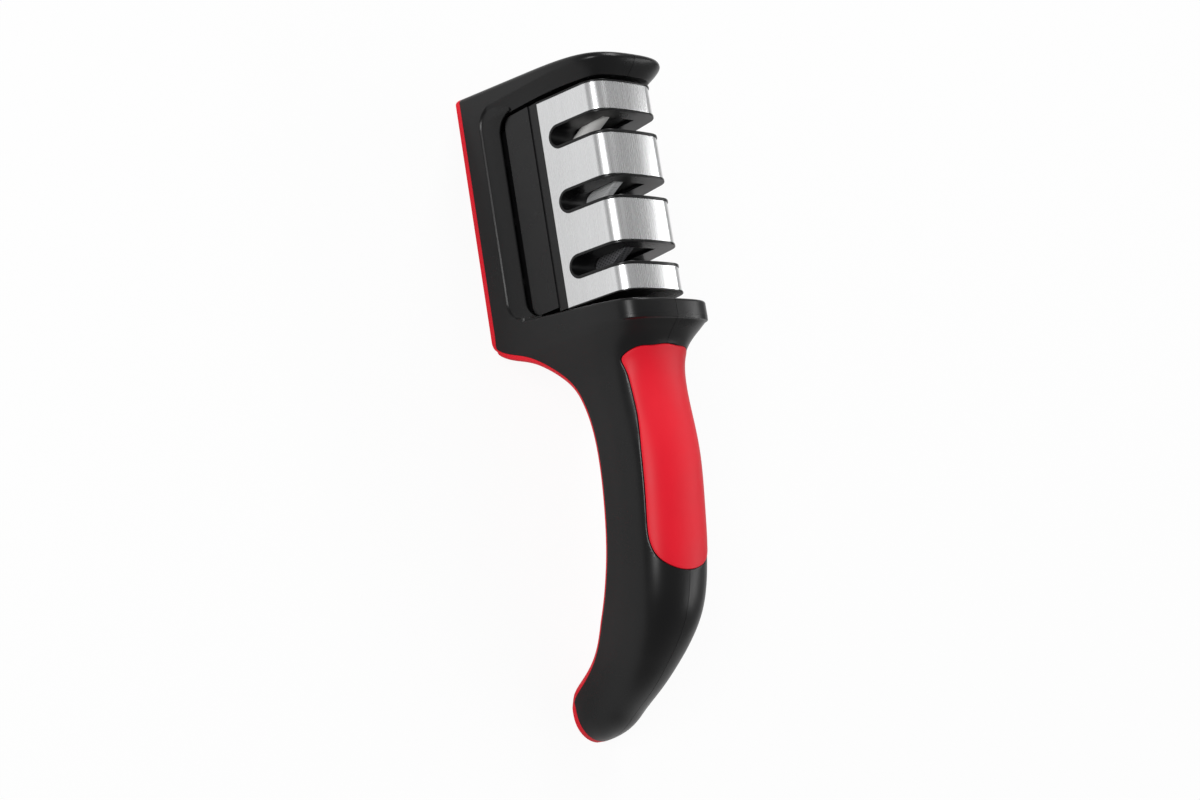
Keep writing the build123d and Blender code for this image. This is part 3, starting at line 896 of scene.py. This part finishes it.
def brushed_steel(name, base=(0.8, 0.805, 0.81), roughness=0.27):
    """Steel sheet brushed along its length."""
    material, shader = principled(name, base, roughness, metallic=1.0)
    streaks = noise_at(material, scale=2600, stretch=(0.012, 1, 1), detail=3.0, roughness=0.6)
    wide = noise_at(material, scale=260, stretch=(0.04, 1, 1), detail=3.0)
    glossed(material, shader, streaks, low=roughness - 0.02, high=roughness + 0.03)
    toned(material, shader, ranged(material, wide), base, low_share=0.96, high_share=1.03)
    bumped(material, shader, streaks, strength=0.07, distance=0.01 * MM)
    return material


def hard_metal(name, base=(0.86, 0.865, 0.87)):
    """Ground bright hard metal with crisp streaks."""
    material, shader = principled(name, base, roughness=0.3, metallic=0.25)
    streaks = noise_at(material, scale=900, stretch=(1, 0.05, 0.05), detail=2.0)
    glossed(material, shader, streaks, low=0.24, high=0.38)
    bumped(material, shader, streaks, strength=0.08, distance=0.01 * MM)
    return material


def diamond_grit(name, base=(0.09, 0.09, 0.095)):
    """Steel with a fine diamond coat in a cross-hatch."""
    material, shader = principled(name, base, roughness=0.45, metallic=0.6)
    grit = node(material, "ShaderNodeTexVoronoi", Scale=5200)
    place = node(material, "ShaderNodeTexCoord")
    link(material, place, "Object", grit, "Vector")
    hatch = node(material, "ShaderNodeMath")
    hatch.operation = "MAXIMUM"
    for into, turn in enumerate((45, -45)):
        mapping = node(material, "ShaderNodeMapping", Rotation=(radians(turn), radians(turn), 0))
        link(material, place, "Object", mapping, "Vector")
        wave = node(material, "ShaderNodeTexWave", Scale=380, Distortion=1.0)
        link(material, mapping, "Vector", wave, "Vector")
        link(material, wave, "Fac", hatch, into)
    toned(material, shader, hatch, base, low_share=0.6, high_share=3.2)
    first = node(material, "ShaderNodeBump", Strength=0.6, Distance=0.06 * MM)
    link(material, hatch, 0, first, "Height")
    bumped(material, shader, grit, strength=0.5, distance=0.04 * MM, before=first)
    return material


def white_ceramic(name, base=(0.93, 0.92, 0.9)):
    """Fine matt ceramic."""
    material, shader = principled(name, base, roughness=0.38)
    slow = noise_at(material, scale=300, detail=4.0)
    fine = noise_at(material, scale=6500, detail=2.0)
    toned(material, shader, ranged(material, slow), base, low_share=0.93, high_share=1.0)
    bumped(material, shader, fine, strength=0.1, distance=0.03 * MM)
    return material


def screw_steel(name, base=(0.5, 0.5, 0.51)):
    """Plain bright screw steel."""
    material, shader = principled(name, base, roughness=0.32, metallic=1.0)
    spots = noise_at(material, scale=1800, detail=3.0)
    glossed(material, shader, spots, low=0.25, high=0.45)
    return material


# Floor, world, lamps and camera

def seen_or_lit(tree, lit, seen, factor):
    """Shows seen where factor is 1, and lit where it is 0."""
    mix = tree.nodes.new("ShaderNodeMixShader")
    tree.links.new(factor, mix.inputs["Fac"])
    tree.links.new(lit.outputs[0], mix.inputs[1])
    tree.links.new(seen.outputs[0], mix.inputs[2])
    return mix.outputs[0]


def make_floor():
    """A pale floor that shows white to the camera but keeps the object's shadow."""
    corners = ((-1, -1), (1, -1), (1, 1), (-1, 1))
    verts = [(x * floor_reach, y * floor_reach, 0) for x, y in corners]
    floor = mesh_object("floor", verts, [(0, 1, 2, 3)])
    material = bpy.data.materials.new("floor")
    material.use_nodes = True
    tree = material.node_tree
    tree.nodes.clear()
    out = tree.nodes.new("ShaderNodeOutputMaterial")
    diffuse = tree.nodes.new("ShaderNodeBsdfDiffuse")
    diffuse.inputs["Color"].default_value = (floor_shade, floor_shade, floor_shade, 1)
    glow = tree.nodes.new("ShaderNodeEmission")
    glow.inputs["Color"].default_value = (1, 1, 1, 1)
    path = tree.nodes.new("ShaderNodeLightPath")
    share = tree.nodes.new("ShaderNodeMath")
    share.operation = "MULTIPLY"
    share.inputs[1].default_value = floor_glow_share
    tree.links.new(path.outputs["Is Camera Ray"], share.inputs[0])
    shown = seen_or_lit(tree, diffuse, glow, share.outputs[0])
    tree.links.new(shown, out.inputs["Surface"])
    floor.data.materials.append(material)


def make_world():
    """A soft white light all round, which the camera sees as plain white."""
    world = bpy.data.worlds.new("world")
    world.use_nodes = True
    tree = world.node_tree
    tree.nodes.clear()
    out = tree.nodes.new("ShaderNodeOutputWorld")
    backgrounds = []
    for strength in (world_strength, 1.0):
        background = tree.nodes.new("ShaderNodeBackground")
        background.inputs["Color"].default_value = (1, 1, 1, 1)
        background.inputs["Strength"].default_value = strength
        backgrounds.append(background)
    path = tree.nodes.new("ShaderNodeLightPath")
    shown = seen_or_lit(tree, *backgrounds, path.outputs["Is Camera Ray"])
    tree.links.new(shown, out.inputs["Surface"])
    bpy.context.scene.world = world


def make_lamps():
    for name, place, aim, size, watts in lamps:
        data = bpy.data.lights.new(name, "AREA")
        data.shape = "RECTANGLE"
        data.size, data.size_y = size
        data.energy = watts
        lamp = bpy.data.objects.new(name, data)
        bpy.context.scene.collection.objects.link(lamp)
        lamp.location = place
        lamp.rotation_euler = (Vector(aim) - Vector(place)).to_track_quat("-Z", "Y").to_euler()


def make_camera():
    data = bpy.data.cameras.new("camera")
    data.sensor_width = sensor_width
    data.lens = focal_pixels / photo_width * sensor_width
    data.clip_start = camera_clip_start
    camera = bpy.data.objects.new("camera", data)
    bpy.context.scene.collection.objects.link(camera)
    turn = Matrix((camera_right, camera_up, camera_back)).transposed()
    camera.matrix_world = Matrix.Translation(camera_place) @ turn.to_4x4()
    bpy.context.scene.camera = camera


make_camera()
make_world()
make_floor()
make_lamps()

# The finish of each material slot of the record
finishes = {
    "black_housing": black_plastic("black_plastic", base=(0.0045, 0.0045, 0.0048), roughness=0.3),
    "black_inner": black_plastic("inner_plastic", base=(0.004, 0.004, 0.0043), roughness=0.38),
    "black_cartridge": black_plastic("cartridge_plastic", base=(0.006, 0.006, 0.0064), roughness=0.28),
    "red_rubber": red_rubber("red_rubber"),
    "brushed_cover": brushed_steel("brushed_steel"),
    "hard_metal": hard_metal("hard_metal"),
    "diamond_grit": diamond_grit("diamond_grit"),
    "white_ceramic": white_ceramic("white_ceramic"),
    "screw_steel": screw_steel("screw_steel"),
}


def finish_piece(piece, body, slot, node_name):
    """Gives a piece the material of a record slot and its body, and puts it in the place of a node."""
    piece.data.materials.clear()
    piece.data.materials.append(finishes[slot])
    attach(piece, body)
    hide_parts(node_name)


def dressed(name, node_name, body, slot, bevel=0.0):
    """A finished copy of a CAD piece: clean faces, rounded edges and smooth shading."""
    piece = bpy.data.objects.new(name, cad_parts[node_name].data.copy())
    bpy.context.scene.collection.objects.link(piece)
    shape = bmesh.new()
    shape.from_mesh(piece.data)
    bmesh.ops.remove_doubles(shape, verts=shape.verts, dist=join_distance)
    limits = {"angle_limit": radians(flat_angle), "delimit": set()}
    bmesh.ops.dissolve_limit(shape, verts=shape.verts, edges=shape.edges, **limits)
    bmesh.ops.recalc_face_normals(shape, faces=shape.faces)
    shape.to_mesh(piece.data)
    shape.free()
    if bevel > 0:
        modifier = piece.modifiers.new("round", "BEVEL")
        modifier.width = bevel
        modifier.segments = bevel_segments
        modifier.limit_method = "ANGLE"
        modifier.angle_limit = radians(piece_sharp_angle)
        modifier.use_clamp_overlap = True
        settle(piece)
    smooth(piece, piece_sharp_angle)
    finish_piece(piece, body, slot, node_name)


# The housing, the sole and the inlay, modelled here
near, far, sole, pad = housing_and_sole()
for piece, slot, node_name in (
    (near, "black_housing", "housing_near_half"),
    (far, "black_housing", "housing_far_half"),
    (sole, "red_rubber", "sole_pad"),
    (pad, "red_rubber", "grip_inlay"),
):
    smooth(piece, housing_sharp_angle)
    finish_piece(piece, "housing", slot, node_name)

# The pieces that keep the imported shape, with the width of their rounded edges
for name, node_name, body, slot, bevel in (
    ("base_cover", "base_plate", "housing", "black_inner", 0.15 * MM),
    ("base_screw_set", "base_screws", "housing", "screw_steel", 0.08 * MM),
    ("cartridge_block", "cartridge_base", "cartridge", "black_cartridge", 0.6 * MM),
    ("cartridge_screw_set", "cartridge_screws", "cartridge", "screw_steel", 0.08 * MM),
    ("core_near", "core_near_half", "cartridge", "black_inner", 0.12 * MM),
    ("core_far", "core_far_half", "cartridge", "black_inner", 0.12 * MM),
    ("core_web", "core_centre_plate", "cartridge", "black_inner", 0.12 * MM),
    ("steel_cover", "cover_shell", "cartridge", "brushed_cover", 0.12 * MM),
    ("cap_head", "cartridge_cap_head", "cartridge", "black_cartridge", 0.12 * MM),
    ("cap_handle", "cartridge_cap_handle", "cartridge", "black_cartridge", 0.12 * MM),
):
    dressed(name, node_name, body, slot, bevel)
for i in (1, 2, 3):
    dressed(f"slot_lip_{i}", f"slot_liner_{i}", "cartridge", "black_cartridge", 0.15 * MM)
for word in ("near", "far"):
    dressed(f"diamond_{word}", f"diamond_plate_{word}", "cartridge", "diamond_grit", 0.2 * MM)
    dressed(f"carbide_{word}", f"carbide_blade_{word}", "cartridge", "hard_metal", 0.1 * MM)
    dressed(f"ceramic_{word}", f"ceramic_rod_{word}", "cartridge", "white_ceramic")

bpy.context.scene.view_settings.view_transform = "Standard"

bpy.context.view_layer.update()
